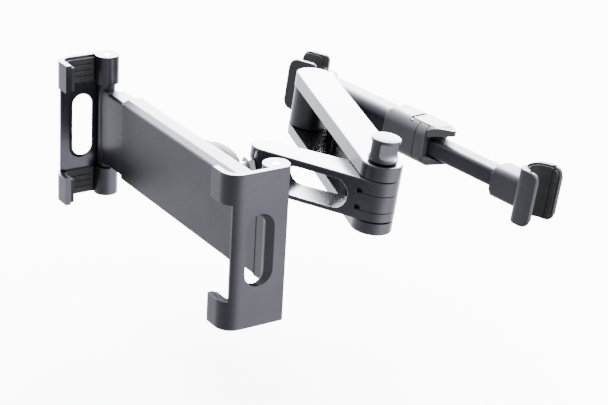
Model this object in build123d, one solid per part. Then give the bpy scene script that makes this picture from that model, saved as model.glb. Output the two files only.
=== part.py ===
from build123d import *
import math
import os

# Headrest tablet mount. Lengths in millimetres, angles in degrees, +Z up.
# The origin is on the axis of the telescopic bar, midway between the two
# headrest posts. X runs along the bar, -Y faces the person who looks at
# the tablet.

# Headrest bar
POST_SPACING = 186.8        # axis to axis of the two posts
POST_R = 6.5                # radius of the post that the cradle holds
LINER_T = 1.5               # rubber liner in the hook
HOOK_T = 4.0                # wall of the hook
HOOK_H = 31.0               # height of the hook
PRONG_L = 1.3               # length of the right prongs past the post axis
PRONG_LEFT = 4.6            # the left hook's prongs are longer
HOOK_RISE = 1.2             # the left hook sits a little higher
HOOK_R = 4.2                # outer corners of the hook, seen from above
TIP_R = 4.6                 # rounding of the prong tips
TUBE_W = 19.0               # outer tube, front to back
TUBE_H = 20.6
TUBE_Z = 0.8                # the tube sits a little above the bar's axis
TUBE_R = 6.5
TUBE_T = 1.6
TUBE_X0 = -52.0             # ends of the outer tube
TUBE_X1 = -3.0
BRACKET_X0 = -68.0          # left end of the shoulder bracket's block
PLUG_L = 5.0
BUSH_L = 8.0
BAR_W = 12.2                # inner bar, front to back
BAR_H = 10.4                # inner bar, height
BAR_R = 2.6
BAR_X0 = -26.0
SOCKET_X0 = 63.0            # where the socket of the right hook begins
SOCKET_W = 17.4
SOCKET_H = 17.6
SOCKET_Z = -0.7
COLLAR_X0 = -16.0
COLLAR_X1 = 14.5
COLLAR_W = 22.0
COLLAR_R = 6.6
COLLAR_LOW = -10.6
COLLAR_TOP = 13.4
TAB_X1 = 26.8               # end of the tongue below the bar
TAB_TOP = -5.6
TAB_END = -6.2              # underside of the lower tongue at its tip
TONGUE_W = (19.0, 1.8)      # width of the tongues where they start and end
HOOD_Z = (7.0, 10.4)        # underside of the hood over the bar, start and tip
LEVER_W = 13.0
LEVER_LOW = 10.3
LEVER_TOP = 13.4
LEVER_X1 = 27.1
LEVER_PIN = (2.0, 11.9)     # x and z of the lever pin
LEVER_PIN_R = 0.9
SHOE_X = (5.4, 11.0)
PIVOT_OFF = 17.2            # swivel axis of the left hook to its post axis
HOOK_YAW = 23.0             # left hook turned about its swivel pin
PIVOT_D = 3.2

# Arms
LINK_Z = -0.65              # middle height of the arm joints
KNUCKLE_R = 11.0            # round ends of the joints
TONGUE_H = 22.4
PLATE_GAP = 23.4            # between the plates of the rear link
PLATE_TOP = 7.8
PLATE_LOW = 6.6
WEB_T = 3.4
WEB_Y = 10.6                # back of the web behind the link's centre line
REAR_L = 127.0              # elbow axis to shoulder axis
REAR_ANGLE = 151.0          # rear link, seen from above
FRONT_L = 62.0              # elbow axis to the ball end
FRONT_ANGLE = 206.8
FRONT_W = 16.7
SHOULDER = (-62.2, -22.4)   # shoulder axis
BOLT_D = 6.0
WASHER_T = 0.4
KNOB_R = 7.8
KNOB_H = 13.4

# Ball joint
STUD_ANGLE = 254.2          # direction of the stud, seen from above
STUD_L = 25.8               # end of the front link to the ball
BALL_DROP = 1.9             # the ball sits a little lower than the link's middle
BALL_R = 8.0
NECK_R = 3.6
CLAMP_PAN = -11.4
CLAMP_TILT = 4.8
CLAMP_ROLL = -2.7

# Tablet clamp, in its own frame: x along the panel, y to the back
BODY_L = 117.0
BODY_H = 46.4
BODY_Y0 = 0.5
BODY_Y1 = 13.2
PANEL_H = 42.6
PANEL_T = 2.0
BALL_Y = 27.0
RING_R = 17.8
BOSS_R = 13.0
CAVITY_Y1 = 10.2
ARM_H = 24.0
ARM_T = 7.7
ARM_X0 = 14.0               # inner end of a carriage's arm
WINDOW_IN = 5.0             # rim of the arm round its window
TAB_X = 16.0                # hole of the spring in the arm's tab
TAB_H = 5.6                 # tab beyond the arm
SPRING_OUT = 3.4            # axis of a spring beyond the arm
SPRING_IN = 8.5             # post of a spring to the end of the body
CHANNEL_OUT = 6.0           # channel of a spring beyond the arm
CHANNEL_IN = 4.5            # its end to the end of the body
SCREW_IN = 2.3              # panel screws to the end of the body
SCREW_Z = 16.4
HEAD_IN = 9.0               # head of a carriage ends before the jaw's pin
JAW_H = 80.0
JAW_X = 92.6                # outer face of the jaw wall
JAW_Y0 = -23.8              # front of the lips
JAW_R = 8.6                 # outer corner
JAW_T = 3.2
LIP_L = 16.3
LIP_H = 15.2
PAD_T = 1.8
PIN_X = 86.0
PIN_Y = 5.3
PIN_D = 3.0
BARREL_R = 6.6
KNUCKLE_H = 48.0            # knuckle of the carriage
KNUCKLE_RC = 4.7
SLOT_Y = (-13.1, -1.6)
SLOT_Z = 17.6
SLOT_RIM = (-13.6, 2.0, 18.6)   # wider outline of the slot on the outer face: y, y, z
SLOT_IN = (-15.4, -1.6, 18.6)   # and on the inner face
SLOT_DEEP = 2.4             # depth of the outer bevel
FACE_Y0 = -20.4             # front edge of the wall between the lips

# Fits
RUN = 0.05                  # running fit, on the radius
SIDE = 0.3                  # gap between moving faces
SLIDE = 0.2                 # gap of a slide


def box(x0, x1, y0, y1, z0, z1):
    return Pos((x0 + x1) / 2, (y0 + y1) / 2, (z0 + z1) / 2) * Box(x1 - x0, y1 - y0, z1 - z0)


def zcyl(x, y, r, z0, z1):
    return Pos(x, y, (z0 + z1) / 2) * Cylinder(r, z1 - z0)


def ycyl(x, z, r, y0, y1):
    return Pos(x, (y0 + y1) / 2, z) * Rot(90, 0, 0) * Cylinder(r, y1 - y0)


def xbar(w, h, r, x0, x1):
    """Rounded rectangular bar along X: w across Y, h up Z."""
    sketch = Plane.YZ.offset(x0) * RectangleRounded(w, h, r)
    return extrude(sketch, x1 - x0)


def tube_section(shrink, x0, x1):
    """Section of the outer tube, smaller by shrink all round, along X."""
    r = max(TUBE_R - shrink, 0.6)
    return Pos(0, 0, TUBE_Z) * xbar(TUBE_W - 2 * shrink, TUBE_H - 2 * shrink, r, x0, x1)


def soft(part, radius, pick):
    """Round the picked edges, with a smaller radius if the full one fails."""
    for r in (radius, radius * 0.6, radius * 0.35):
        try:
            out = fillet(pick(part), r)
            if out.is_valid and out.volume > 0:
                return out
        except Exception:
            continue
    return part


def one(shape):
    """The largest solid of a shape."""
    return sorted(shape.solids(), key=lambda s: s.volume)[-1]


def top_edges(part, z):
    return [e for e in part.edges() if abs(e.center().Z - z) < 0.01 and e.bounding_box().size.Z < 0.01]


A2 = math.radians(REAR_ANGLE)
A1 = math.radians(FRONT_ANGLE)
AS = math.radians(STUD_ANGLE)
ELBOW = (SHOULDER[0] - REAR_L * math.cos(A2), SHOULDER[1] - REAR_L * math.sin(A2))
TIP = (ELBOW[0] + FRONT_L * math.cos(A1), ELBOW[1] + FRONT_L * math.sin(A1))
BALL = (TIP[0] + STUD_L * math.cos(AS), TIP[1] + STUD_L * math.sin(AS))
AT_REAR = Location((ELBOW[0], ELBOW[1], LINK_Z), (0, 0, REAR_ANGLE))
AT_FRONT = Location((ELBOW[0], ELBOW[1], LINK_Z), (0, 0, FRONT_ANGLE))
STUD_DIP = math.degrees(math.atan2(BALL_DROP, STUD_L))
STUD_RUN = math.hypot(STUD_L, BALL_DROP)
AT_STUD = Location((TIP[0], TIP[1], LINK_Z)) * Rot(0, 0, STUD_ANGLE) * Rot(0, STUD_DIP, 0)
TURN = Rot(0, 0, CLAMP_PAN) * Rot(CLAMP_TILT, 0, 0) * Rot(0, CLAMP_ROLL, 0)
SPRING_POST = BODY_L / 2 - SPRING_IN
SPRING_Z = ARM_H / 2 + SPRING_OUT
SCREW_X = BODY_L / 2 - SCREW_IN
AT_CLAMP = Location((BALL[0], BALL[1], LINK_Z - BALL_DROP)) * TURN * Location((0, -BALL_Y, 0))


# Hooks for the headrest posts

def hook_clip(back, tip, height, radius):
    """Side outline of a hook from its web to its tips, with rounded tips."""
    side = RectangleRounded(tip + back + 10.0, height, radius)
    return extrude(Plane.XZ.offset(30) * Pos((tip - back - 10.0) / 2, 0) * side, -60)


def hook_shell(prong):
    """Hook round a post at the origin, open towards +X."""
    out_r = POST_R + LINER_T + HOOK_T
    in_r = POST_R + LINER_T
    h = HOOK_H
    plan = RectangleRounded(out_r + 40.0, 2 * out_r, HOOK_R)
    shell = extrude(Plane.XY.offset(-h / 2) * Pos(20.0 - out_r / 2, 0) * plan, h)
    shell -= box(prong, 80, -30, 30, -30, 30)
    shell -= zcyl(0, 0, in_r, -30, 30)
    shell -= box(0, 30, -in_r, in_r, -30, 30)
    shell = shell & hook_clip(out_r, prong, h, TIP_R)
    shell = soft(one(shell), 1.5, lambda p: [e for e in p.edges() if abs(e.center().X - prong) < 0.05
                                             and e.bounding_box().size.Z > 15])
    shell = soft(shell, 0.7, lambda p: [e for e in top_edges(p, h / 2) + top_edges(p, -h / 2)
                                        if abs(e.center().Y) > in_r + 1.0 or e.center().X < -in_r - 1.0])
    return one(shell)


def hook_liner(prong):
    in_r = POST_R + LINER_T
    h = HOOK_H / 2 - 1.0
    tip = prong - 1.0
    liner = zcyl(0, 0, in_r - 0.02, -h, h) - box(0, 30, -30, 30, -30, 30)
    liner += box(0, tip, -in_r, in_r, -h, h)
    liner -= zcyl(0, 0, POST_R, -30, 30)
    liner -= box(0, 30, -POST_R, POST_R, -30, 30)
    liner = liner & hook_clip(in_r, tip, 2 * h, TIP_R - 0.8)
    for z in (-8.4, -2.8, 2.8, 8.4):
        liner -= zcyl(0, 0, POST_R + 0.5, z - 0.5, z + 0.5)
    return one(liner)


def right_hook():
    x = POST_SPACING / 2
    out_r = POST_R + LINER_T + HOOK_T
    bar = Pos(0, 0, SOCKET_Z) * xbar(SOCKET_W, SOCKET_H, 4.0, SOCKET_X0, x - out_r + 3.0)
    bar = soft(bar, 1.2, lambda p: p.faces().sort_by(Axis.X)[0].edges())
    bar -= zcyl(x, 0, out_r - HOOK_T, -30, 30)
    part = Pos(x, 0, 0) * hook_shell(PRONG_L) + bar
    part -= xbar(BAR_W + 0.1, BAR_H + 0.1, BAR_R, SOCKET_X0 - 1, x - 14.0)
    part -= zcyl(70.0, 0, 1.6, -30, 0)
    part -= zcyl(70.0, 0, 2.9, -30, SOCKET_Z - SOCKET_H / 2 + 2.0)
    return one(part)


def right_hook_screw():
    z = SOCKET_Z - SOCKET_H / 2 + 2.0
    screw = zcyl(70.0, 0, 2.6, z - 1.6, z)
    screw += zcyl(70.0, 0, 1.5, z, -BAR_H / 2 + 1.5)
    screw -= extrude(Plane.XY.offset(z - 1.6) * Pos(70.0, 0) * RegularPolygon(1.2, 6), 0.9)
    return screw


def left_hook():
    """Left hook in its own frame: post at the origin, open to -X, pin on +X."""
    out_r = POST_R + LINER_T + HOOK_T
    shell = mirror(hook_shell(PRONG_LEFT), about=Plane.YZ)
    z0, z1 = -5.8 - HOOK_RISE, 5.8 - HOOK_RISE
    eye = zcyl(PIVOT_OFF, 0, 4.4, z0, z1) + box(out_r - 2.0, PIVOT_OFF, -4.4, 4.4, z0, z1)
    eye -= zcyl(0, 0, POST_R + LINER_T + 1.0, -30, 30)
    part = shell + eye
    part -= zcyl(PIVOT_OFF, 0, PIVOT_D / 2 + RUN, -30, 30)
    return one(part)


PIVOT = (-POST_SPACING / 2 + PIVOT_OFF * math.cos(math.radians(HOOK_YAW)),
         PIVOT_OFF * math.sin(math.radians(HOOK_YAW)))
AT_HOOK = Location((-POST_SPACING / 2, 0, HOOK_RISE), (0, 0, HOOK_YAW))


# Telescopic bar

def shoulder_bracket():
    half = TUBE_W / 2
    low, top = TUBE_Z - TUBE_H / 2, TUBE_Z + TUBE_H / 2
    block = tube_section(0, BRACKET_X0, TUBE_X0)
    block = soft(block, 1.2, lambda p: p.faces().sort_by(Axis.X)[0].edges())
    fingers = zcyl(PIVOT[0], PIVOT[1], 4.6, low + 1.0, top - 1.0)
    fingers += box(PIVOT[0], BRACKET_X0 + 2.0, PIVOT[1] - 4.6, half, low, top) & tube_section(0, -80, -60)
    part = block + fingers
    part -= zcyl(PIVOT[0], PIVOT[1], 6.2, -6.1, 6.1)
    # plug inside the outer tube
    part += tube_section(TUBE_T + 0.03, TUBE_X0, TUBE_X0 + PLUG_L)
    # arm and knuckle of the shoulder joint
    h = TONGUE_H / 2
    knuckle = zcyl(SHOULDER[0], SHOULDER[1], KNUCKLE_R - 0.2, LINK_Z - h, LINK_Z + h)
    arm = box(SHOULDER[0] - 6.0, SHOULDER[0] + 6.0, SHOULDER[1], -half + 3.0, -9.0, 8.4)
    part += knuckle + arm
    part -= zcyl(SHOULDER[0], SHOULDER[1], BOLT_D / 2 + RUN, -30, 30)
    part -= zcyl(PIVOT[0], PIVOT[1], PIVOT_D / 2 + 0.02, -30, 30)
    part -= zcyl(PIVOT[0], PIVOT[1], 2.7, top - 2.0, top + 1)
    for z in (-3.5, 3.5):
        part -= ycyl(TUBE_X0 + PLUG_L / 2, z, 1.0, 0, half)
    return one(part)


def left_hook_pin():
    low, top = TUBE_Z - TUBE_H / 2, TUBE_Z + TUBE_H / 2
    pin = zcyl(PIVOT[0], PIVOT[1], PIVOT_D / 2, low + 1.5, top - 2.0)
    pin += zcyl(PIVOT[0], PIVOT[1], 2.5, top - 2.0, top - 1.1)
    return pin


def outer_tube():
    tube = tube_section(0, TUBE_X0, TUBE_X1) - tube_section(TUBE_T, TUBE_X0 - 1, TUBE_X1 + 1)
    for z in (-3.5, 3.5):
        tube -= ycyl(TUBE_X0 + PLUG_L / 2, z, 1.2, 0, 20)
    return tube


def tube_screws():
    out = []
    half = TUBE_W / 2
    x = TUBE_X0 + PLUG_L / 2
    for z in (-3.5, 3.5):
        screw = ycyl(x, z, 1.8, half, half + 0.9) + ycyl(x, z, 0.95, 3.0, half)
        screw -= Pos(x, half + 0.9, z) * Box(2.6, 0.8, 0.6)
        out.append(screw)
    return out


def tube_bush():
    bush = tube_section(TUBE_T + 0.02, TUBE_X1 - BUSH_L, TUBE_X1)
    bush += tube_section(0.5, TUBE_X1, TUBE_X1 + 1.4)
    bush -= xbar(BAR_W + 2 * SLIDE, BAR_H + 2 * SLIDE, BAR_R, TUBE_X1 - 20, TUBE_X1 + 20)
    return bush


def tongue(x0, x1, side):
    """Tapered tongue that carries the collar's outline on; side is its outline seen from the front."""
    mid = (COLLAR_TOP + COLLAR_LOW) / 2
    a, b = TONGUE_W[0] / 2, TONGUE_W[1] / 2
    plan = make_face(Polyline((x0, -a), (COLLAR_X1 + 1.0, -a), (x1, -b), (x1, b), (COLLAR_X1 + 1.0, a), (x0, a),
                              close=True))
    part = extrude(Plane.XY.offset(-40) * plan, 80)
    part = part & (Pos(0, 0, mid) * xbar(COLLAR_W, COLLAR_TOP - COLLAR_LOW, COLLAR_R, x0, x1 + 5))
    return one(part & extrude(Plane.XZ.offset(30) * make_face(Polyline(*side, close=True)), -60))


def lock_collar():
    """Sleeve on the tube's end with a pocket for the lever and a tongue below."""
    mid = (COLLAR_TOP + COLLAR_LOW) / 2
    high = COLLAR_TOP - COLLAR_LOW
    part = Pos(0, 0, mid) * xbar(COLLAR_W, high, COLLAR_R, COLLAR_X0, COLLAR_X1)
    part = soft(part, 1.0, lambda p: p.faces().sort_by(Axis.X)[0].edges() + p.faces().sort_by(Axis.X)[-1].edges())
    # groove that parts the sleeve from its end ring
    ring = Pos(0, 0, mid) * xbar(COLLAR_W + 4, high + 4, 5, 7.6, 8.3)
    ring -= Pos(0, 0, mid) * xbar(COLLAR_W - 1.2, high - 1.2, COLLAR_R - 0.6, 7, 9)
    part -= ring
    x0 = COLLAR_X1 - 3.0
    part += tongue(x0, TAB_X1, [(x0, TAB_TOP), (x0, -30), (COLLAR_X1, -30), (COLLAR_X1, COLLAR_LOW + 0.2),
                                (TAB_X1, TAB_END), (TAB_X1, TAB_TOP)])
    part -= tube_section(-0.02, COLLAR_X0 - 1, TUBE_X1)
    part -= tube_section(0.4, TUBE_X1 - 1, TUBE_X1 + 1.45)
    part -= xbar(BAR_W + 2 * SLIDE, BAR_H + 2 * SLIDE, BAR_R, -20, 30)
    px, pz = LEVER_PIN
    side = LEVER_W / 2 + SIDE
    part -= box(px - 2.4, COLLAR_X1 + 1, -side, side, LEVER_LOW - SLIDE, 20)
    part -= box(SHOE_X[0] - SLIDE, SHOE_X[1] + SLIDE, -4.2, 4.2, 4.0, 12.0)
    part -= ycyl(px, pz, LEVER_PIN_R + 0.02, -8.6, 8.6)
    return one(part)


def brake_shoe():
    return box(SHOE_X[0], SHOE_X[1], -4.0, 4.0, BAR_H / 2 + 0.05, LEVER_LOW - 0.1)


def lever_pin():
    px, pz = LEVER_PIN
    return ycyl(px, pz, LEVER_PIN_R, -8.5, 8.5)


def lock_lever():
    """Lever in the collar's pocket, which ends in a tongue over the bar."""
    px, pz = LEVER_PIN
    w = LEVER_W / 2
    part = box(px, COLLAR_X1 + 1.0, -w, w, LEVER_LOW, LEVER_TOP)
    x0 = COLLAR_X1 + SIDE
    part += tongue(x0, LEVER_X1, [(x0, HOOD_Z[0]), (LEVER_X1, HOOD_Z[1]), (LEVER_X1, 40), (x0, 40)])
    part += ycyl(px, pz, pz - LEVER_LOW, -w, w)
    part -= ycyl(px, pz, LEVER_PIN_R + RUN, -20, 20)
    for k in range(3):
        x = LEVER_X1 - 3.4 - 2.0 * k
        part -= ycyl(x, LEVER_TOP + 0.2, 0.5, -1.6 - 1.2 * k, 1.6 + 1.2 * k)
    return one(part)


def inner_bar():
    bar = xbar(BAR_W, BAR_H, BAR_R, BAR_X0, POST_SPACING / 2 - 14.2)
    bar -= xbar(BAR_W - 3.2, BAR_H - 3.2, BAR_R - 1.6, BAR_X0 - 1, 100)
    bar -= zcyl(70.0, 0, 1.6, -30, 0)
    return bar


def bar_slider():
    part = tube_section(TUBE_T + SLIDE, BAR_X0 - 1.2, BAR_X0 + 4.6)
    part -= xbar(BAR_W, BAR_H, BAR_R, BAR_X0, BAR_X0 + 10)
    return part


# Rear link, in its own frame: elbow at the origin, shoulder on +X

def rear_link():
    g = PLATE_GAP / 2
    top = extrude(Plane.XY.offset(g) * Pos(REAR_L / 2, 0) * SlotCenterToCenter(REAR_L, 2 * KNUCKLE_R), PLATE_TOP)
    low = extrude(Plane.XY.offset(-g - PLATE_LOW) * Pos(REAR_L / 2, 0) * SlotCenterToCenter(REAR_L, 2 * KNUCKLE_R),
                  PLATE_LOW)
    top = soft(top, 0.9, lambda p: top_edges(p, g + PLATE_TOP))
    low = soft(low, 0.9, lambda p: top_edges(p, -g - PLATE_LOW))
    x0 = KNUCKLE_R + 2.4
    web = box(x0, REAR_L - x0, -WEB_Y, WEB_T - WEB_Y, -g, g)
    for x in (x0 + 18.0, REAR_L / 2, REAR_L - x0 - 18.0):
        web += box(x - 1.2, x + 1.2, WEB_T - WEB_Y - 0.5, WEB_T - WEB_Y + 1.6, -g, g)
    web -= zcyl(0, 0, KNUCKLE_R + 0.8, -30, 30) + zcyl(REAR_L, 0, KNUCKLE_R + 0.8, -30, 30)
    part = top + web + low
    top_z = g + PLATE_TOP
    low_z = -g - PLATE_LOW
    part -= zcyl(0, 0, BOLT_D / 2 + 0.02, -40, 40)
    part -= zcyl(REAR_L, 0, BOLT_D / 2 + 0.02, -40, top_z - 2.4)
    for x in (0, REAR_L):
        part -= extrude(Plane.XY.offset(low_z - 1) * Pos(x, 0) * RegularPolygon(6.0, 6), 4.8)
    return one(part)


def hex_bolt(x, top):
    low_z = -PLATE_GAP / 2 - PLATE_LOW
    bolt = extrude(Plane.XY.offset(low_z + 0.4) * Pos(x, 0) * RegularPolygon(5.85, 6), 3.4)
    bolt += zcyl(x, 0, BOLT_D / 2, low_z + 3.8, top)
    bolt = soft(bolt, 0.5, lambda p: p.faces().sort_by(Axis.Z)[-1].edges())
    return bolt


def plain_washers(x):
    g = PLATE_GAP / 2
    out = []
    for z0, z1 in ((g - WASHER_T, g), (-g, -g + WASHER_T)):
        out.append(zcyl(x, 0, 9.6, z0, z1) - zcyl(x, 0, BOLT_D / 2 + 0.3, z0 - 1, z1 + 1))
    return out


def knob_base():
    return PLATE_GAP / 2 + PLATE_TOP


def knob_washer():
    z = knob_base()
    return zcyl(0, 0, 6.8, z, z + 0.6) - zcyl(0, 0, BOLT_D / 2 + 0.2, z - 1, z + 2)


def elbow_knob():
    """Wing knob: a drum with two finger scoops that leave a thick wing."""
    z = knob_base() + 0.6 + 0.15
    top = knob_base() + KNOB_H
    drum = zcyl(0, 0, KNOB_R, z, top)
    drum = soft(drum, 0.8, lambda p: p.faces().sort_by(Axis.Z)[-1].edges() + p.faces().sort_by(Axis.Z)[0].edges())
    for s in (-1, 1):
        y = s * (KNOB_R + 5.4)
        scoop = zcyl(0, y, 9.4, z + 3.0, top - 2.0)
        scoop = soft(scoop, 1.6, lambda p: p.faces().sort_by(Axis.Z)[0].edges())
        drum -= scoop
    drum -= zcyl(0, 0, BOLT_D / 2 + 0.06, z - 1, top - 2.6)
    return one(drum)


# Front link, in its own frame: elbow at the origin, ball end on +X

def front_link():
    h = TONGUE_H / 2
    r2 = FRONT_W / 2
    outline = make_hull(Circle(KNUCKLE_R).edges() + (Pos(FRONT_L, 0) * Circle(r2)).edges())
    part = extrude(Plane.XY.offset(-h) * outline, 2 * h)
    part = soft(part, 0.8, lambda p: top_edges(p, h) + top_edges(p, -h))
    # through opening with round ends
    z0, z1 = -8.9, 7.4
    x0, x1 = 12.6, 50.0
    r = (z1 - z0) / 2
    hole = SlotOverall(x1 - x0, 2 * r)
    cut = extrude(Plane.XZ.offset(20) * Pos((x0 + x1) / 2, (z0 + z1) / 2) * hole, -40)
    part -= cut
    part = soft(part, 0.6, lambda p: [e for e in p.edges() if x0 - 0.1 < e.center().X < x1 + 0.1
                                      and abs(e.center().Z) < 9.2 and abs(e.center().Y) > 7.0
                                      and e.bounding_box().size.Y < 3.0])
    # bolt hole
    part -= zcyl(0, 0, BOLT_D / 2 + RUN, -30, 30)
    # two fine grooves round the barrel, each from a square window
    for z in (3.2, -6.0):
        ring = zcyl(0, 0, KNUCKLE_R + 3, z, z + 0.45) - zcyl(0, 0, KNUCKLE_R - 0.9, z - 1, z + 1)
        ring = ring & box(-30, 8.1, -30, 30, -30, 30)
        part -= ring
        for s in (-1, 1):
            part -= box(4.9, 8.1, min(s * 7.6, s * 14), max(s * 7.6, s * 14), z + 0.1, z + 3.2)
            part -= box(4.9, 8.1, min(s * 9.4, s * 14), max(s * 9.4, s * 14), z, z + 0.45)
    # seat and thread of the ball stud
    a = STUD_ANGLE - FRONT_ANGLE
    seat = Pos(FRONT_L, 0, 0) * Rot(0, 0, a) * Rot(0, STUD_DIP, 0)
    part -= seat * (Pos(12.0, 0, 0) * Rot(0, 90, 0) * Cylinder(7.0, 8.0))
    part -= seat * (Pos(4.6, 0, 0) * Rot(0, 90, 0) * Cylinder(2.5 + 0.02, 8.0))
    return one(part)


# Ball stud, in its own frame: end of the front link at the origin, ball on +X

def ball_stud():
    run = STUD_RUN
    stud = Pos(run, 0, 0) * Sphere(BALL_R)
    stud += Pos((run + 8.0) / 2, 0, 0) * Rot(0, 90, 0) * Cylinder(NECK_R, run - 8.0)
    stud += extrude(Plane.YZ.offset(8.0) * RegularPolygon(6.2, 6), 3.0)
    stud += Pos(4.8, 0, 0) * Rot(0, 90, 0) * Cylinder(2.5, 6.6)
    neck = [e for e in stud.edges() if abs(e.bounding_box().size.X) < 0.01 and 17.0 < e.center().X < 20.0]
    try:
        rounded = fillet(neck, 1.0)
        if rounded.is_valid:
            stud = rounded
    except Exception:
        pass
    return stud


def ball_liner(r0, r1):
    """Spherical cap round the front of the ball, in the clamp's frame."""
    cap = Pos(0, BALL_Y, 0) * (Sphere(r1) - Sphere(r0))
    cone = Pos(0, BALL_Y - 10.0, 0) * Rot(-90, 0, 0) * Cone(20.0 * math.tan(math.radians(55)), 0.01, 20.0)
    return one(cap & cone)


# Tablet clamp, in its own frame

def clamp_body():
    h = BODY_H / 2
    x = BODY_L / 2
    y0, y1 = BODY_Y0, BODY_Y1
    prof = [(y0, -PANEL_H / 2 - 0.3), (y0 + 3.4, -h), (y1, -h), (y1, h), (y0 + 3.4, h), (y0, PANEL_H / 2 + 0.3)]
    face = Plane.YZ.offset(-x) * make_face(Polyline(*prof, close=True))
    part = extrude(face, 2 * x)
    part = soft(part, 2.2, lambda p: [e for e in p.edges() if abs(e.center().Y - y1) < 0.01
                                      and abs(abs(e.center().Z) - h) < 0.01])
    # recess of the panel, cavity of the carriages and channels of the springs
    part -= box(-x - 1, x + 1, -5, PANEL_T, -PANEL_H / 2 - 0.15, PANEL_H / 2 + 0.15)
    part -= box(-x - 1, x + 1, 0, CAVITY_Y1, -ARM_H / 2 - SLIDE, ARM_H / 2 + SLIDE)
    channel = ARM_H / 2 + CHANNEL_OUT
    part -= box(-x + CHANNEL_IN, x - CHANNEL_IN, 0, CAVITY_Y1, -channel, channel)
    # spring posts
    part += ycyl(-SPRING_POST, SPRING_Z, 1.1, PANEL_T, CAVITY_Y1 + 1)
    part += ycyl(SPRING_POST, -SPRING_Z, 1.1, PANEL_T, CAVITY_Y1 + 1)
    # middle stops of the carriages
    part += box(-3.0, 3.0, PANEL_T, CAVITY_Y1 + 0.5, 1.0 - ARM_H / 2, ARM_H / 2 - 1.0)
    # boss of the ball joint
    part += ycyl(0, 0, BOSS_R, y1 - 0.5, BALL_Y - 1.0)
    for k in range(3):
        y = 18.2 + 2.6 * k
        part -= ycyl(0, 0, BOSS_R + 1, y, y + 1.1) - ycyl(0, 0, BOSS_R - 0.7, y - 1, y + 3)
    part -= Pos(0, BALL_Y, 0) * Sphere(BALL_R + 1.7)
    for sx in (-1, 1):
        for sz in (-1, 1):
            part -= ycyl(sx * SCREW_X, sz * SCREW_Z, 1.05, -5, 20)
            part -= ycyl(sx * SCREW_X, sz * SCREW_Z, 2.1, y1 - 1.2, 20)
    return one(part)


def front_panel():
    x = BODY_L / 2
    part = box(-x, x, 0, PANEL_T, -PANEL_H / 2, PANEL_H / 2)
    part = soft(part, 0.45, lambda p: p.faces().sort_by(Axis.Y)[0].edges())
    for sx in (-1, 1):
        for sz in (-1, 1):
            part -= ycyl(sx * SCREW_X, sz * SCREW_Z, 0.85, 0.6, 5)
    return part


def panel_screws():
    out = []
    for sx in (-1, 1):
        for sz in (-1, 1):
            x, z = sx * SCREW_X, sz * SCREW_Z
            screw = ycyl(x, z, 1.9, BODY_Y1 - 1.2, BODY_Y1 - 0.2) + ycyl(x, z, 0.8, 0.9, BODY_Y1 - 1.2)
            screw -= Pos(x, BODY_Y1 - 0.2, z) * Box(2.6, 0.9, 0.55)
            screw -= Pos(x, BODY_Y1 - 0.2, z) * Box(0.55, 0.9, 2.6)
            out.append(screw)
    return out


def lock_ring():
    """Ring nut over the ball: stepped dome with grip ribs."""
    y0 = BODY_Y1 + SIDE
    pts = [(y0, BOSS_R + 0.15), (y0, RING_R - 0.6), (y0 + 0.6, RING_R), (20.0, RING_R), (21.0, 16.6), (26.4, 15.6),
           (30.4, 13.6), (33.4, 11.0), (34.2, 10.2), (34.0, 9.4), (BALL_Y + 3.3, 7.45), (BALL_Y + 1.4, 8.05)]
    pts += [(BALL_Y + 1.4, 9.7), (BALL_Y - 0.8, 9.7), (BALL_Y - 0.8, BOSS_R + 0.15)]
    face = make_face(Polyline(*[(r, y) for y, r in pts], close=True))
    ring = revolve(face, Axis.Y)
    ring -= Pos(0, BALL_Y, 0) * Sphere(BALL_R + 0.15)
    n = 24
    for k in range(n):
        a = 360.0 / n * k
        ring -= Rot(0, a, 0) * ycyl(RING_R + 0.55, 0, 1.15, y0 + 1.2, 20.5)
    return one(ring)


def carriage():
    """Right carriage: arm in the body, head outside it, knuckle of the jaw."""
    h = BODY_H / 2 - 2.2
    x0 = BODY_L / 2 + SIDE
    x1 = PIN_X - HEAD_IN
    head = box(x0, x1, 1.2, 12.2, -h, h)
    head = soft(head, 1.6, lambda p: [e for e in p.edges() if e.bounding_box().size.X > 5])
    neck = box(x1 - 1.0, PIN_X, 1.4, 8.0, -KNUCKLE_H / 2 + 3.0, KNUCKLE_H / 2 - 3.0)
    arm = box(ARM_X0, x0 + 2, PANEL_T + SLIDE, PANEL_T + SLIDE + ARM_T, -ARM_H / 2, ARM_H / 2)
    rim = ARM_H / 2 - WINDOW_IN
    arm -= box(ARM_X0 + 2 * WINDOW_IN, SPRING_POST, 0, 20, -rim, rim)
    tab = box(ARM_X0, TAB_X + 2.0, PANEL_T + SLIDE, PANEL_T + SLIDE + ARM_T, ARM_H / 2 - 1, ARM_H / 2 + TAB_H)
    tab -= ycyl(TAB_X, SPRING_Z, 1.2, 0, 20)
    tab -= box(ARM_X0 - 4, TAB_X + 4, 5.0, 7.2, ARM_H / 2 + 0.4, 20 + ARM_H / 2)
    knuckle = zcyl(PIN_X, PIN_Y, KNUCKLE_RC, -KNUCKLE_H / 2, KNUCKLE_H / 2)
    part = head + neck + arm + tab + knuckle
    part -= zcyl(PIN_X, PIN_Y, PIN_D / 2 + 0.02, -50, 50)
    return one(part)


def spring(x0, x1, z):
    """Extension spring along X with a loop at each end."""
    r = 1.9
    wire = 0.35
    turns = 11
    length = x1 - x0 - 5.0
    helix = Helix(pitch=length / turns, height=length, radius=r)
    path = Wire([helix])
    start = path @ 0
    tangent = path % 0
    coil = sweep(Plane(origin=start, z_dir=tangent) * Circle(wire), path=path)
    coil = Pos(x0 + 2.5, 6.1, z) * Rot(0, 90, 0) * coil
    parts = [one(coil)]
    return parts


def slot_face(x, rim):
    """Outline of the jaw's slot in the plane at x: rim is its two y values and half its height."""
    y0, y1, z = rim
    return Plane.YZ.offset(x) * Pos((y0 + y1) / 2, 0) * Rot(0, 0, 90) * SlotOverall(2 * z, y1 - y0)


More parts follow.
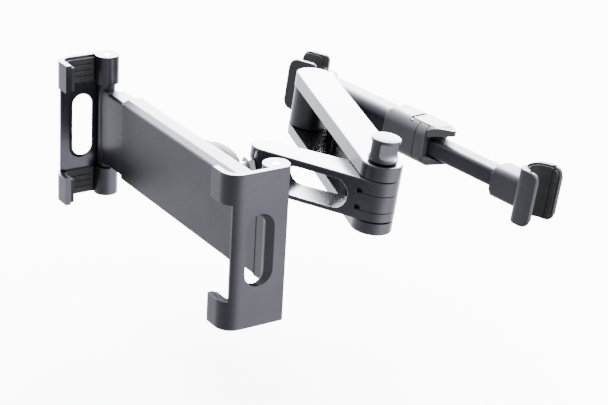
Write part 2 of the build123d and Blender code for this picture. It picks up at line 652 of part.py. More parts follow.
def jaw():
    """Right jaw: wall with a slot, lips above and below, barrels on the pin."""
    h = JAW_H / 2
    xo, yf, r, t = JAW_X, JAW_Y0, JAW_R, JAW_T
    outer = zcyl(xo - r, yf + r, r, -h, h) + box(xo - r, xo, yf + r, PIN_Y + 3.6, -h, h)
    outer += box(xo - LIP_L, xo - r, yf, yf + r, -h, h)
    part = outer
    part -= zcyl(xo - r, yf + r, r - t, -50, 50)
    part -= box(xo - r - 0.01, xo - t, yf + r, 40, -50, 50)
    part -= box(0, xo - r, yf + t, 40, -50, 50)
    # no lips in the middle
    part -= box(0, xo - t, -60, PIN_Y - 8.0, -h + LIP_H, h - LIP_H)
    part -= box(0, xo + 1, -60, FACE_Y0, -h + LIP_H, h - LIP_H)
    # barrels
    for z0, z1 in ((KNUCKLE_H / 2 + SIDE, h), (-h, -KNUCKLE_H / 2 - SIDE)):
        barrel = zcyl(PIN_X, PIN_Y, BARREL_R, z0, z1)
        barrel += box(PIN_X, xo, PIN_Y - 6.0, PIN_Y + 2.4, z0, z1)
        part += barrel
    part -= zcyl(PIN_X, PIN_Y, KNUCKLE_RC + SIDE, -KNUCKLE_H / 2 - SIDE, KNUCKLE_H / 2 + SIDE)
    # slot through the wall
    through = (SLOT_Y[0], SLOT_Y[1], SLOT_Z)
    part -= extrude(slot_face(xo - 20, through), 40)
    part -= loft([slot_face(xo - SLOT_DEEP, through), slot_face(xo + 0.01, SLOT_RIM)])
    part -= loft([slot_face(xo - t - 0.01, SLOT_IN), slot_face(xo - SLOT_DEEP, through)])
    part = one(part)
    part = soft(part, 0.9, lambda p: [e for e in top_edges(p, h) + top_edges(p, -h)
                                      if e.center().X > xo - 3.0 or e.center().Y < yf + 2.4])
    # holes of the pin
    part -= zcyl(PIN_X, PIN_Y, PIN_D / 2 + RUN, -60, 60)
    part -= zcyl(PIN_X, PIN_Y, 2.4, h - 1.1, h + 1) + zcyl(PIN_X, PIN_Y, 2.4, -h - 1, -h + 1.1)
    return one(part)


def jaw_pin():
    h = JAW_H / 2
    pin = zcyl(PIN_X, PIN_Y, PIN_D / 2, -h + 1.0, h - 1.0)
    pin += zcyl(PIN_X, PIN_Y, 2.15, h - 1.0, h - 0.1) + zcyl(PIN_X, PIN_Y, 2.15, -h + 0.1, -h + 1.0)
    return pin


def jaw_pads():
    out = []
    h = JAW_H / 2
    xi, yi, r = JAW_X - JAW_T, JAW_Y0 + JAW_T, JAW_R - JAW_T
    cx, cy = JAW_X - JAW_R, JAW_Y0 + JAW_R
    for z0, z1 in ((h - LIP_H + 0.6, h - 1.4), (-h + 1.4, -h + LIP_H - 0.6)):
        pad = zcyl(cx, cy, r - 0.12, z0, z1) & box(cx, cx + 20, cy - 20, cy, z0, z1)
        pad += box(cx - 1, xi, cy, -1.6, z0, z1)
        pad += box(JAW_X - LIP_L + 0.2, cx, yi, cy + 1, z0, z1)
        pad -= zcyl(cx, cy, r - PAD_T, z0 - 1, z1 + 1)
        pad -= box(0, xi - PAD_T, cy, 40, z0 - 1, z1 + 1)
        pad -= box(0, cx, yi + PAD_T, 40, z0 - 1, z1 + 1)
        for k in range(3):
            z = z0 + (z1 - z0) * (k + 1) / 4
            pad -= box(xi - PAD_T - 1, xi - PAD_T + 0.4, cy + 1.0, -2.6, z - 0.35, z + 0.35)
        out.append(one(pad))
    return out


def mirrored(shape):
    return mirror(shape, about=Plane.YZ)


def group(parts, at=None):
    solids = []
    for p in parts:
        solids += list(p.solids())
    if at is not None:
        solids = [at * s for s in solids]
    return Compound(children=solids) if len(solids) > 1 else solids[0]


def put(part, at=None):
    return group([part], at)


NODES = {}
NODES["shoulder_bracket"] = put(shoulder_bracket())
NODES["outer_tube"] = put(outer_tube())
NODES["tube_screws"] = group(tube_screws())
NODES["tube_bush"] = put(tube_bush())
NODES["lock_collar"] = put(lock_collar())
NODES["brake_shoe"] = put(brake_shoe())
NODES["lever_pin"] = put(lever_pin())
NODES["lock_lever"] = put(lock_lever())
NODES["inner_bar"] = put(inner_bar())
NODES["bar_slider"] = put(bar_slider())
NODES["right_hook"] = put(right_hook())
NODES["right_hook_liner"] = put(Pos(POST_SPACING / 2, 0, 0) * hook_liner(PRONG_L))
NODES["right_hook_screw"] = put(right_hook_screw())
NODES["left_hook"] = put(left_hook(), AT_HOOK)
NODES["left_hook_liner"] = put(mirrored(hook_liner(PRONG_LEFT)), AT_HOOK)
NODES["left_hook_pin"] = put(left_hook_pin())
NODES["rear_link"] = put(rear_link(), AT_REAR)
NODES["elbow_bolt"] = put(hex_bolt(0, knob_base() + KNOB_H - 3.4), AT_REAR)
NODES["elbow_washers"] = group(plain_washers(0) + [knob_washer()], AT_REAR)
NODES["shoulder_bolt"] = put(hex_bolt(REAR_L, knob_base() - 2.6), AT_REAR)
NODES["shoulder_washers"] = group(plain_washers(REAR_L), AT_REAR)
NODES["elbow_knob"] = put(elbow_knob(), Location((ELBOW[0], ELBOW[1], LINK_Z), (0, 0, 72.0)))
NODES["front_link"] = put(front_link(), AT_FRONT)
NODES["ball_stud"] = put(ball_stud(), AT_STUD)
NODES["ball_liner_inner"] = put(ball_liner(BALL_R + 0.15, BALL_R + 0.75), AT_CLAMP)
NODES["ball_liner_outer"] = put(ball_liner(BALL_R + 0.9, BALL_R + 1.55), AT_CLAMP)
NODES["clamp_body"] = put(clamp_body(), AT_CLAMP)
NODES["front_panel"] = put(front_panel(), AT_CLAMP)
NODES["panel_screws"] = group(panel_screws(), AT_CLAMP)
NODES["ball_lock_ring"] = put(lock_ring(), AT_CLAMP)
NODES["right_carriage"] = put(carriage(), AT_CLAMP)
NODES["left_carriage"] = put(Rot(0, 180, 0) * carriage(), AT_CLAMP)
NODES["right_spring"] = group(spring(-SPRING_POST, TAB_X, SPRING_Z), AT_CLAMP)
NODES["left_spring"] = group(spring(-TAB_X, SPRING_POST, -SPRING_Z), AT_CLAMP)
NODES["right_jaw"] = put(jaw(), AT_CLAMP)
NODES["left_jaw"] = put(mirrored(jaw()), AT_CLAMP)
NODES["right_jaw_pin"] = put(jaw_pin(), AT_CLAMP)
NODES["left_jaw_pin"] = put(mirrored(jaw_pin()), AT_CLAMP)
NODES["right_jaw_pads"] = group(jaw_pads(), AT_CLAMP)
NODES["left_jaw_pads"] = group([mirrored(p) for p in jaw_pads()], AT_CLAMP)

os.makedirs("parts", exist_ok=True)
for name, shape in NODES.items():
    export_step(shape, "parts/" + name + ".step")
    print(name, len(shape.solids()), round(shape.volume, 1), shape.is_valid)
print("elbow", ELBOW, "tip", TIP, "ball", BALL, "pivot", PIVOT)
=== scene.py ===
import math

import bmesh
import bpy
from mathutils import Matrix, Vector


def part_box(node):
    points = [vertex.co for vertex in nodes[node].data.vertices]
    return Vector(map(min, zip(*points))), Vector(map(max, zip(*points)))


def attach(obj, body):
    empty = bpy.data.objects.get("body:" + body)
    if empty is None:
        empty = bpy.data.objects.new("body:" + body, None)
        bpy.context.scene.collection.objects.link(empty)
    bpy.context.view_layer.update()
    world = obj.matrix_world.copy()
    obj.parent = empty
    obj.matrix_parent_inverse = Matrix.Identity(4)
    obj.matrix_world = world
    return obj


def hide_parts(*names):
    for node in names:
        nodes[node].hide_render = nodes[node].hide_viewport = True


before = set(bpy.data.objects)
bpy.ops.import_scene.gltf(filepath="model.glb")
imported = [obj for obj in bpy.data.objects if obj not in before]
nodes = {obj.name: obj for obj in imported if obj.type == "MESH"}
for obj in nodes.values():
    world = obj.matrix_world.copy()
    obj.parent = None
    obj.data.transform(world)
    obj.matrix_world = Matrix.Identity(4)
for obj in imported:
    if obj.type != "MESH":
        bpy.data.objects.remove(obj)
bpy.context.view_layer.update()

# Camera: place and angles of the photograph, in the frame of the part
CAM_POS = Vector((0.6013, -0.7520, 0.3488))
CAM_AZ = math.radians(41.98)
CAM_EL = math.radians(22.57)
CAM_ROLL = math.radians(9.34)
IMAGE_W = 608
FOCAL_PX = 1810.4
SENSOR = 36.0

# Sheet that the object stands over, and the lamp above it
FLOOR_Z = -0.135
FLOOR_HALF = 3.0
PAPER = ((0.3, (0.93, 0.93, 0.935)), (0.7, (0.95, 0.95, 0.955)))
LAMP_PLACE = (0.0, 0.1, 2.2)
LAMP_SIZE = 4.0
LAMP_POWER = 900.0

# Glows of the studio: direction, brightness in that direction and how narrow the glow is
STUDIO = (
    ((-0.65, 0.76, 0.10), 4.9, 2.1),
    ((-0.62, 0.69, 0.38), 46.0, 9.0),
    ((0.90, 0.35, -0.20), 1.6, 5.0),
    ((0.0, 0.0, 1.0), 0.34, 0.0),
)
STUDIO_TINT = (0.975, 0.98, 1.0, 1.0)

# Noise of the finishes: scale, detail and roughness
METAL_CLOUD = (38.0, 3.0, 0.55)
METAL_SHEEN = (620.0, 4.0, 0.6)
METAL_GRAIN = (5200.0, 2.0, 0.6)
PLASTIC_CLOUD = (55.0, 3.0, 0.5)
PLASTIC_SHEEN = (900.0, 3.0, 0.6)
PLASTIC_GRAIN = (3600.0, 3.0, 0.65)
RUBBER_CLOUD = (140.0, 4.0, 0.6)
RUBBER_SHEEN = (420.0, 3.0, 0.6)
RUBBER_GRAIN = (2600.0, 4.0, 0.7)
STEEL_MARKS = (900.0, 3.0, 0.6)
PAPER_CLOUD = (3.0, 2.0, 0.5)
NOISE_LOW = 0.3                 # nearly all of a noise lies between these two
NOISE_HIGH = 0.7
# Relief of the finishes: strength and height
METAL_RELIEF = (0.10, 0.00004)
PLASTIC_RELIEF = (0.22, 0.00006)
RUBBER_RELIEF = (0.35, 0.00008)
STEEL_RELIEF = (0.12, 0.00003)
EDGE_SHINE = 0.0003             # radius of the rounded look of an edge
STEEL_SHINE = 0.0002
KNOB_SHINE = 0.00004

# Hooks, whose thin walls and round rims the CAD model keeps plain
MM = 0.001
POST_X = 93.4 * MM              # the hooks' posts, left and right of the origin
HOOK_OUT = 12.0 * MM            # outer faces of the prongs to the post's axis
HOOK_T = 2.7 * MM               # wall of a hook
HOOK_R = 4.2 * MM               # outer corners of a hook, seen from above
HOOK_HALF = 15.5 * MM           # half of a prong's height
BACK_IN = 0.35                  # centre of the round back behind the post, as a share of its radius
TIP_R = 4.6 * MM
BACK_R = 2.6 * MM
EDGE = 0.9 * MM                 # rounding of the rims
SHY = 0.05 * MM                 # the back lies this much under the prongs' faces
RUBBER_T = 1.3 * MM
RUBBER_SINK = 0.02 * MM         # into the wall
RUBBER_GAP = 1.0 * MM           # inside the hook's outline
RUBBER_EDGE = 0.3 * MM
# reach of the prongs past the post, half of the web's height, where the prongs start, and where the rubber on
# them starts as a share of the inner width
RIGHT_HOOK = (1.3 * MM, HOOK_HALF, HOOK_R - HOOK_OUT, 0.5)
LEFT_HOOK = (4.6 * MM, 8.8 * MM, -HOOK_OUT, 0.9)
LEFT_RISE = 1.2 * MM
LEFT_YAW = math.radians(23.0)
PIVOT_OFF = 17.2 * MM           # eye of the left hook to its post
EYE_R = 4.4 * MM
EYE_HALF = 5.8 * MM
EYE_ROOT = 2.0 * MM             # the eye's arm starts this far into the web
EYE_EDGE = 0.5 * MM
SOCKET_START = 63.0 * MM
SOCKET_W = 17.4 * MM
SOCKET_H = 17.6 * MM
SOCKET_Z = -0.7 * MM
SOCKET_R = 4.0 * MM
SOCKET_ROOT = 1.5 * MM          # the socket ends this far behind the wall's inner face
SOCKET_EDGE = 1.1 * MM

# Wing knob
KNOB_TURN = math.radians(90.0)
KNOB_R = 7.8 * MM
KNOB_SEAT = 0.55 * MM           # the foot reaches this far below the CAD knob, on to its washer
KNOB_WING = 3.2 * MM            # half the thickness of the wing
KNOB_FOOT = 1.9 * MM            # disc under the wing
KNOB_CAP = 2.3 * MM             # disc over the wing
KNOB_DOME = 0.9 * MM
DOME_FLAT = 0.06                # middle of the dome, as a share of its radius
DOME_TIP = 0.3 * MM
FOOT_EDGE = 0.6 * MM
FOOT_RIM = 0.3 * MM             # the foot's side ends this far under its top
SCOOP_RISE = 3.2 * MM           # height in which a scoop turns from the foot to the wing
ROOF_EDGE = 0.5 * MM
FLAT_LIMIT = 0.9998             # even a full ring has narrow flats, so that all rings have as many points

# Steps of the curves, and the angle past which an edge stays sharp
CORNER_STEPS = 8
EYE_STEPS = 16
ROUND_STEPS = 24
DOME_STEPS = 6
RIM_STEPS = 4
SHARP = math.radians(24.0)


def add_camera():
    """Camera of the photograph."""
    sa, ca = math.sin(CAM_AZ), math.cos(CAM_AZ)
    se, ce = math.sin(CAM_EL), math.cos(CAM_EL)
    forward = Vector((-sa * ce, ca * ce, -se))
    right = Vector((ca, sa, 0.0))
    down = forward.cross(right)
    cr, sr = math.cos(CAM_ROLL), math.sin(CAM_ROLL)
    r = right * cr - down * sr
    d = right * sr + down * cr
    cam = bpy.data.cameras.new("camera")
    cam.sensor_fit = "HORIZONTAL"
    cam.sensor_width = SENSOR
    cam.lens = FOCAL_PX / IMAGE_W * SENSOR
    cam.clip_start = 0.05
    cam.clip_end = 20.0
    obj = bpy.data.objects.new("camera", cam)
    bpy.context.scene.collection.objects.link(obj)
    m = Matrix.Identity(4)
    for i in range(3):
        m[i][0] = r[i]
        m[i][1] = -d[i]
        m[i][2] = -forward[i]
        m[i][3] = CAM_POS[i]
    obj.matrix_world = m
    bpy.context.scene.camera = obj


class Nodes:
    """Small helper that builds a material's node tree."""

    def __init__(self, name):
        self.mat = bpy.data.materials.new(name)
        self.mat.use_nodes = True
        self.tree = self.mat.node_tree
        self.tree.nodes.clear()
        self.out = self.add("ShaderNodeOutputMaterial")
        self.shader = self.add("ShaderNodeBsdfPrincipled")
        self.link(self.shader.outputs["BSDF"], self.out.inputs["Surface"])
        self.coord = self.add("ShaderNodeTexCoord").outputs["Object"]

    def add(self, kind, **values):
        node = self.tree.nodes.new(kind)
        for key, value in values.items():
            setattr(node, key, value)
        return node

    def link(self, a, b):
        self.tree.links.new(a, b)

    def noise(self, kind, stretch=None):
        scale, detail, rough = kind
        source = self.coord
        if stretch is not None:
            mapping = self.add("ShaderNodeMapping")
            mapping.inputs["Scale"].default_value = stretch
            self.link(self.coord, mapping.inputs["Vector"])
            source = mapping.outputs["Vector"]
        node = self.add("ShaderNodeTexNoise")
        node.inputs["Scale"].default_value = scale
        node.inputs["Detail"].default_value = detail
        node.inputs["Roughness"].default_value = rough
        self.link(source, node.inputs["Vector"])
        return node.outputs["Fac"]

    def ramp(self, fac, stops):
        node = self.add("ShaderNodeValToRGB")
        ramp = node.color_ramp
        while len(ramp.elements) < len(stops):
            ramp.elements.new(0.5)
        for element, (pos, color) in zip(ramp.elements, stops):
            element.position = pos
            element.color = (*color, 1.0)
        self.link(fac, node.inputs["Fac"])
        return node.outputs["Color"]

    def span(self, fac, low, high):
        node = self.add("ShaderNodeMapRange")
        node.inputs["From Min"].default_value = NOISE_LOW
        node.inputs["From Max"].default_value = NOISE_HIGH
        node.inputs["To Min"].default_value = low
        node.inputs["To Max"].default_value = high
        self.link(fac, node.inputs["Value"])
        return node.outputs["Result"]

    def bump(self, height, relief, normal):
        strength, distance = relief
        node = self.add("ShaderNodeBump")
        node.inputs["Strength"].default_value = strength
        node.inputs["Distance"].default_value = distance
        self.link(height, node.inputs["Height"])
        self.link(normal, node.inputs["Normal"])
        return node.outputs["Normal"]

    def bevel(self, radius):
        node = self.add("ShaderNodeBevel", samples=6)
        node.inputs["Radius"].default_value = radius
        return node.outputs["Normal"]


def shade(color, k):
    """A colour k times as bright."""
    return tuple(min(1.0, c * k) for c in color)


def anodised(name, color, rough, metallic, edge=EDGE_SHINE):
    """Bead-blasted and anodised aluminium: fine grain, soft cloudy tone."""
    n = Nodes(name)
    cloud = n.noise(METAL_CLOUD)
    tone = n.ramp(cloud, [(0.25, shade(color, 0.90)), (0.75, shade(color, 1.10))])
    n.link(tone, n.shader.inputs["Base Color"])
    n.shader.inputs["Metallic"].default_value = metallic
    n.link(n.span(n.noise(METAL_SHEEN), rough - 0.03, rough + 0.04), n.shader.inputs["Roughness"])
    n.link(n.bump(n.noise(METAL_GRAIN), METAL_RELIEF, n.bevel(edge)), n.shader.inputs["Normal"])
    return n.mat


def moulded(name, color, rough):
    """Moulded plastic with a fine spark-eroded texture."""
    n = Nodes(name)
    tone = n.ramp(n.noise(PLASTIC_CLOUD), [(0.25, shade(color, 0.88)), (0.75, shade(color, 1.12))])
    n.link(tone, n.shader.inputs["Base Color"])
    n.link(n.span(n.noise(PLASTIC_SHEEN), rough - 0.05, rough + 0.06), n.shader.inputs["Roughness"])
    n.link(n.bump(n.noise(PLASTIC_GRAIN), PLASTIC_RELIEF, n.bevel(EDGE_SHINE)), n.shader.inputs["Normal"])
    return n.mat


def rubber(name, color):
    """Matt rubber with a coarse skin."""
    n = Nodes(name)
    tone = n.ramp(n.noise(RUBBER_CLOUD), [(0.3, shade(color, 0.8)), (0.7, shade(color, 1.25))])
    n.link(tone, n.shader.inputs["Base Color"])
    n.link(n.span(n.noise(RUBBER_SHEEN), 0.62, 0.82), n.shader.inputs["Roughness"])
    n.link(n.bump(n.noise(RUBBER_GRAIN), RUBBER_RELIEF, n.bevel(EDGE_SHINE)), n.shader.inputs["Normal"])
    return n.mat


def steel(name, color, rough, stretch):
    """Turned or drawn steel with fine marks along one direction."""
    n = Nodes(name)
    marks = n.noise(STEEL_MARKS, stretch)
    n.link(n.ramp(marks, [(0.3, shade(color, 0.82)), (0.7, color)]), n.shader.inputs["Base Color"])
    n.shader.inputs["Metallic"].default_value = 1.0
    n.link(n.span(marks, rough - 0.06, rough + 0.08), n.shader.inputs["Roughness"])
    n.link(n.bump(marks, STEEL_RELIEF, n.bevel(STEEL_SHINE)), n.shader.inputs["Normal"])
    return n.mat


def arc(cx, cy, r, a0, a1, steps):
    """Points of an arc from a0 to a1, in degrees."""
    turns = [math.radians(a0 + (a1 - a0) * k / steps) for k in range(steps + 1)]
    return [(cx + r * math.cos(a), cy + r * math.sin(a)) for a in turns]


def rounded(x0, x1, y0, y1, r0, r1):
    """Rectangle with rounded corners: radius r0 at the x0 side and r1 at the x1 side."""
    low = ((x0 + r0, y0 + r0, r0, 180), (x1 - r1, y0 + r1, r1, 270))
    high = ((x1 - r1, y1 - r1, r1, 0), (x0 + r0, y1 - r0, r0, 90))
    return [p for x, y, r, a in low + high for p in arc(x, y, r, a, a + 90, CORNER_STEPS)]


def prism(bm, outline, low, high, place, edge):
    """Adds an outline drawn out from low to high, its rims rounded by edge.

    place turns u and v of the outline and the height into a point."""
    foot = bm.faces.new([bm.verts.new(place(u, v, low)) for u, v in outline])
    cover = bm.faces.new([bm.verts.new(place(u, v, high)) for u, v in reversed(outline)])
    a, b = list(foot.verts), list(reversed(cover.verts))
    for k in range(len(outline)):
        j = (k + 1) % len(outline)
        bm.faces.new((a[k], b[k], b[j], a[j]))
    rims = list(foot.edges) + list(cover.edges)
    bmesh.ops.bevel(bm, geom=rims, offset=edge, segments=RIM_STEPS, profile=0.5, affect="EDGES",
                    clamp_overlap=True)


def upright(u, v, height):
    """Outline seen from above."""
    return (u, v, height)


def crosswise(u, v, height):
    """Outline seen from the front."""
    return (u, height, v)


def lengthwise(u, v, height):
    """Outline seen from the end of the bar."""
    return (height, u, v)


def finished(name, bm, matrix, mat, body, node):
    """Turns a bmesh into a piece that stands for a CAD node."""
    bmesh.ops.recalc_face_normals(bm, faces=bm.faces)
    mesh = bpy.data.meshes.new(name)
    bm.to_mesh(mesh)
    bm.free()
    mesh.transform(matrix)
    if matrix.determinant() < 0.0:
        mesh.flip_normals()
    mesh.materials.append(mat)
    for face in mesh.polygons:
        face.use_smooth = True
    mesh.set_sharp_from_angle(angle=SHARP)
    obj = bpy.data.objects.new(name, mesh)
    bpy.context.scene.collection.objects.link(obj)
    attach(obj, body)
    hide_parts(node)


def bend(outer, thick, back):
    """Plan of the hook's back: a U from one prong to the other, open to +X, that ends at back."""
    inner = outer - thick
    side = HOOK_R - outer
    points = [(back, -inner)] + arc(-inner * BACK_IN, 0.0, inner, 270, 90, ROUND_STEPS) + [(back, inner)]
    points += [(back, outer)] + arc(side, -side, HOOK_R, 90, 180, CORNER_STEPS)
    return points + arc(side, side, HOOK_R, 180, 270, CORNER_STEPS) + [(back, -outer)]


def hook_mesh(sizes):
    """Two prongs with rounded tips that open to +X, and the web behind the post."""
    prong, web, start, _ = sizes
    inner = HOOK_OUT - HOOK_T
    bm = bmesh.new()
    for y0, y1 in ((-HOOK_OUT, -inner), (inner, HOOK_OUT)):
        prism(bm, rounded(start, prong, -HOOK_HALF, HOOK_HALF, BACK_R, TIP_R), y0, y1, crosswise, EDGE)
    back = bend(HOOK_OUT - SHY, HOOK_T - 2 * SHY, start + 2.0 * BACK_R)
    prism(bm, back, -web, web, upright, EDGE)
    return bm


def liner_mesh(sizes):
    """Rubber inside the prongs and behind the post."""
    prong, web, _, share = sizes
    outer = HOOK_OUT - HOOK_T + RUBBER_SINK
    inner = outer - RUBBER_T
    gap = RUBBER_GAP
    bm = bmesh.new()
    for y0, y1 in ((-outer, -inner), (inner, outer)):
        plate = rounded(-share * outer, prong - gap, gap - HOOK_HALF, HOOK_HALF - gap, BACK_R, TIP_R - gap)
        prism(bm, plate, y0, y1, crosswise, RUBBER_EDGE)
    middle = -BACK_IN * outer
    ring = arc(middle, 0.0, outer, 90, 270, ROUND_STEPS) + arc(middle, 0.0, inner, 270, 90, ROUND_STEPS)
    prism(bm, ring, gap - web, web - gap, upright, RUBBER_EDGE)
    return bm


def add_right_hook():
    """Hook with the socket of the inner bar."""
    inner = HOOK_OUT - HOOK_T
    place = Matrix.Translation((POST_X, 0.0, 0.0))
    bm = hook_mesh(RIGHT_HOOK)
    low, high = SOCKET_Z - SOCKET_H / 2, SOCKET_Z + SOCKET_H / 2
    section = rounded(-SOCKET_W / 2, SOCKET_W / 2, low, high, SOCKET_R, SOCKET_R)
    prism(bm, section, SOCKET_START - POST_X, -inner - SOCKET_ROOT, lengthwise, SOCKET_EDGE)
    finished("right_hook_form", bm, place, HOOK, "right_post_arm", "right_hook")
    bm = liner_mesh(RIGHT_HOOK)
    finished("right_liner_form", bm, place, PAD, "right_post_arm", "right_hook_liner")


def add_left_hook():
    """Hook with the eye of its swivel pin, a mirror image that is turned about its post."""
    root = HOOK_T - HOOK_OUT - EYE_ROOT
    turn = Matrix.Translation((-POST_X, 0.0, LEFT_RISE)) @ Matrix.Rotation(LEFT_YAW, 4, "Z")
    place = turn @ Matrix.Scale(-1.0, 4, (1.0, 0.0, 0.0))
    bm = hook_mesh(LEFT_HOOK)
    eye = arc(-PIVOT_OFF, 0.0, EYE_R, 90, 270, EYE_STEPS) + [(root, -EYE_R), (root, EYE_R)]
    prism(bm, eye, -EYE_HALF - LEFT_RISE, EYE_HALF - LEFT_RISE, upright, EYE_EDGE)
    finished("left_hook_form", bm, place, HOOK, "left_post_hook", "left_hook")
    bm = liner_mesh(LEFT_HOOK)
    finished("left_liner_form", bm, place, PAD, "left_post_hook", "left_hook_liner")


def flattened(r, half):
    """Circle of radius r with two flats at +half and -half."""
    corner = math.degrees(math.asin(min(half / r, FLAT_LIMIT)))
    right = arc(0.0, 0.0, r, -corner, corner, ROUND_STEPS)
    left = [(-u, -v) for u, v in right]
    flats = []
    for a, b in ((right, left), (left, right)):
        (u0, v0), (u1, v1) = a[-1], b[0]
        shares = [k / ROUND_STEPS for k in range(1, ROUND_STEPS)]
        flats.append([(u0 + (u1 - u0) * t, v0 + (v1 - v0) * t) for t in shares])
    return right + flats[0] + left + flats[1]


def knob_rings(z0, z1):
    """Height, radius and half of the thickness across the flats, from the foot up to the tip of the dome."""
    floor, roof = z0 + KNOB_FOOT, z1 - KNOB_CAP
    whole, wing = KNOB_R, KNOB_WING
    rings = [(z0, KNOB_R - FOOT_EDGE, whole), (z0 + FOOT_EDGE, KNOB_R, whole)]
    rings.append((floor - FOOT_RIM, KNOB_R, whole))
    for k in range(CORNER_STEPS + 1):
        a = math.radians(90.0 * k / CORNER_STEPS)
        rings.append((floor + SCOOP_RISE * (1.0 - math.cos(a)), KNOB_R, whole - (whole - wing) * math.sin(a)))
    rings += [(roof - ROOF_EDGE, KNOB_R, wing), (roof, KNOB_R, wing + ROOF_EDGE), (roof, KNOB_R, whole)]
    for k in range(DOME_STEPS):
        a = math.radians(90.0 * k / DOME_STEPS)
        r = KNOB_R * (DOME_FLAT + (1.0 - DOME_FLAT) * math.cos(a))
        rings.append((z1 - KNOB_DOME + KNOB_DOME * math.sin(a), r, whole))
    return rings + [(z1, DOME_TIP, whole)]


def add_knob():
    """Wing knob: foot, thick wing with a scoop to each side that runs out into the foot, and a domed cap."""
    low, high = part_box("elbow_knob")
    middle = (low + high) / 2
    bm = bmesh.new()
    rings = knob_rings(low.z - KNOB_SEAT, high.z)
    layers = [[bm.verts.new((u, v, z)) for u, v in flattened(r, half)] for z, r, half in rings]
    count = len(layers[0])
    for a, b in zip(layers, layers[1:]):
        for k in range(count):
            j = (k + 1) % count
            bm.faces.new((a[k], a[j], b[j], b[k]))
    bm.faces.new(list(reversed(layers[0])))
    bm.faces.new(layers[-1])
    place = Matrix.Translation((middle.x, middle.y, 0.0)) @ Matrix.Rotation(KNOB_TURN, 4, "Z")
    finished("elbow_knob_form", bm, place, KNOB, "knob", "elbow_knob")


def add_floor():
    """Pale sheet under the object."""
    mesh = bpy.data.meshes.new("floor")
    h = FLOOR_HALF
    corners = [(-h, -h, FLOOR_Z), (h, -h, FLOOR_Z), (h, h, FLOOR_Z), (-h, h, FLOOR_Z)]
    mesh.from_pydata(corners, [], [(0, 1, 2, 3)])
    obj = bpy.data.objects.new("floor", mesh)
    bpy.context.scene.collection.objects.link(obj)
    n = Nodes("floor_paper")
    n.link(n.ramp(n.noise(PAPER_CLOUD), PAPER), n.shader.inputs["Base Color"])
    n.shader.inputs["Roughness"].default_value = 0.9
    n.shader.inputs["Specular IOR Level"].default_value = 0.1
    mesh.materials.append(n.mat)
    # the metal mirrors the studio round it and not the sheet that it stands over
    obj.visible_glossy = False
    obj.visible_diffuse = False


def add_lamp():
    """Wide soft lamp above the object."""
    lamp = bpy.data.lights.new("top_panel", "AREA")
    lamp.shape = "RECTANGLE"
    lamp.size = LAMP_SIZE
    lamp.size_y = LAMP_SIZE
    lamp.energy = LAMP_POWER
    obj = bpy.data.objects.new("top_panel", lamp)
    obj.location = LAMP_PLACE
    obj.rotation_euler = (-Vector(LAMP_PLACE)).to_track_quat("-Z", "Y").to_euler()
    bpy.context.scene.collection.objects.link(obj)
    # the metal mirrors the glows of the studio and not the lamp
    obj.visible_glossy = False


def glow(tree, way, axis, strength, sharp):
    """Brightness of one glow in the direction way."""

    def math_node(operation, value, factor=None):
        node = tree.nodes.new("ShaderNodeMath")
        node.operation = operation
        tree.links.new(value, node.inputs[0])
        if factor is not None:
            node.inputs[1].default_value = factor
        return node.outputs[0]

    dot = tree.nodes.new("ShaderNodeVectorMath")
    dot.operation = "DOT_PRODUCT"
    dot.inputs[1].default_value = Vector(axis).normalized()
    tree.links.new(way, dot.inputs[0])
    grown = math_node("EXPONENT", math_node("MULTIPLY", dot.outputs["Value"], sharp))
    return math_node("MULTIPLY", grown, strength / math.exp(sharp))


def add_studio():
    """Soft surroundings: bright behind the object, dim in front of it."""
    world = bpy.data.worlds.new("studio")
    world.use_nodes = True
    tree = world.node_tree
    back = tree.nodes["Background"]
    way = tree.nodes.new("ShaderNodeTexCoord").outputs["Generated"]
    total = glow(tree, way, *STUDIO[0])
    for values in STUDIO[1:]:
        add = tree.nodes.new("ShaderNodeMath")
        add.operation = "ADD"
        tree.links.new(total, add.inputs[0])
        tree.links.new(glow(tree, way, *values), add.inputs[1])
        total = add.outputs[0]
    back.inputs["Color"].default_value = STUDIO_TINT
    tree.links.new(total, back.inputs["Strength"])
    bpy.context.scene.world = world


add_camera()

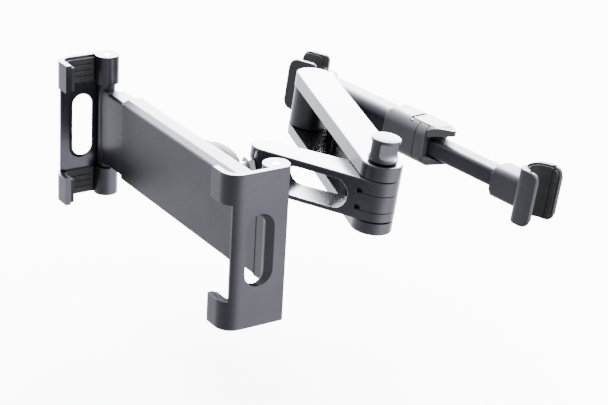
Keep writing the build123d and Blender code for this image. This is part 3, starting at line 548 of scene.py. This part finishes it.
# Finishes: colour, roughness and, for metal, how metallic it is
LINK = anodised("anodised_link", (0.125, 0.125, 0.142), 0.24, 1.0)
BAR = anodised("anodised_bar", (0.066, 0.066, 0.077), 0.46, 0.95)
COLLAR = anodised("satin_collar", (0.062, 0.062, 0.070), 0.36, 0.45)
RING = moulded("moulded_ring", (0.020, 0.020, 0.023), 0.56)
PANEL = anodised("anodised_panel", (0.074, 0.073, 0.088), 0.34, 1.0)
BODY = anodised("anodised_body", (0.105, 0.105, 0.12), 0.38, 1.0)
JAW = anodised("anodised_jaw", (0.105, 0.104, 0.122), 0.31, 1.0)
TUBE = anodised("anodised_tube", (0.10, 0.10, 0.115), 0.44, 1.0)
HOOK = anodised("coated_hook", (0.088, 0.087, 0.10), 0.50, 0.9)
KNOB = anodised("anodised_knob", (0.15, 0.15, 0.17), 0.40, 1.0, KNOB_SHINE)
ACETAL = moulded("acetal", (0.012, 0.012, 0.014), 0.35)
PAD = rubber("rubber_pad", (0.014, 0.014, 0.016))
STEEL = steel("steel", (0.55, 0.55, 0.57), 0.26, (1.0, 1.0, 14.0))
BLACK = steel("black_steel", (0.06, 0.06, 0.067), 0.36, (1.0, 1.0, 10.0))

# CAD nodes that aren't named here are bare steel
FINISH = {
    "rear_link": LINK, "front_link": LINK, "elbow_knob": KNOB, "front_panel": PANEL, "clamp_body": BODY,
    "left_carriage": BODY, "right_carriage": BODY, "left_jaw": JAW, "right_jaw": JAW, "outer_tube": TUBE,
    "inner_bar": BAR, "shoulder_bracket": TUBE, "left_hook": HOOK, "right_hook": HOOK, "lock_collar": COLLAR,
    "lock_lever": COLLAR, "ball_lock_ring": RING, "tube_bush": ACETAL, "bar_slider": ACETAL,
    "elbow_washers": ACETAL, "shoulder_washers": ACETAL, "ball_liner_inner": ACETAL,
    "ball_liner_outer": ACETAL, "right_hook_liner": PAD, "left_hook_liner": PAD, "right_jaw_pads": PAD,
    "left_jaw_pads": PAD, "brake_shoe": PAD, "tube_screws": BLACK, "panel_screws": BLACK,
    "right_hook_screw": BLACK,
}
for name, obj in nodes.items():
    mat = FINISH.get(name, STEEL)
    for s in obj.material_slots:
        s.material = mat
    if not obj.material_slots:
        obj.data.materials.append(mat)

add_right_hook()
add_left_hook()
add_knob()
add_floor()
add_studio()
add_lamp()
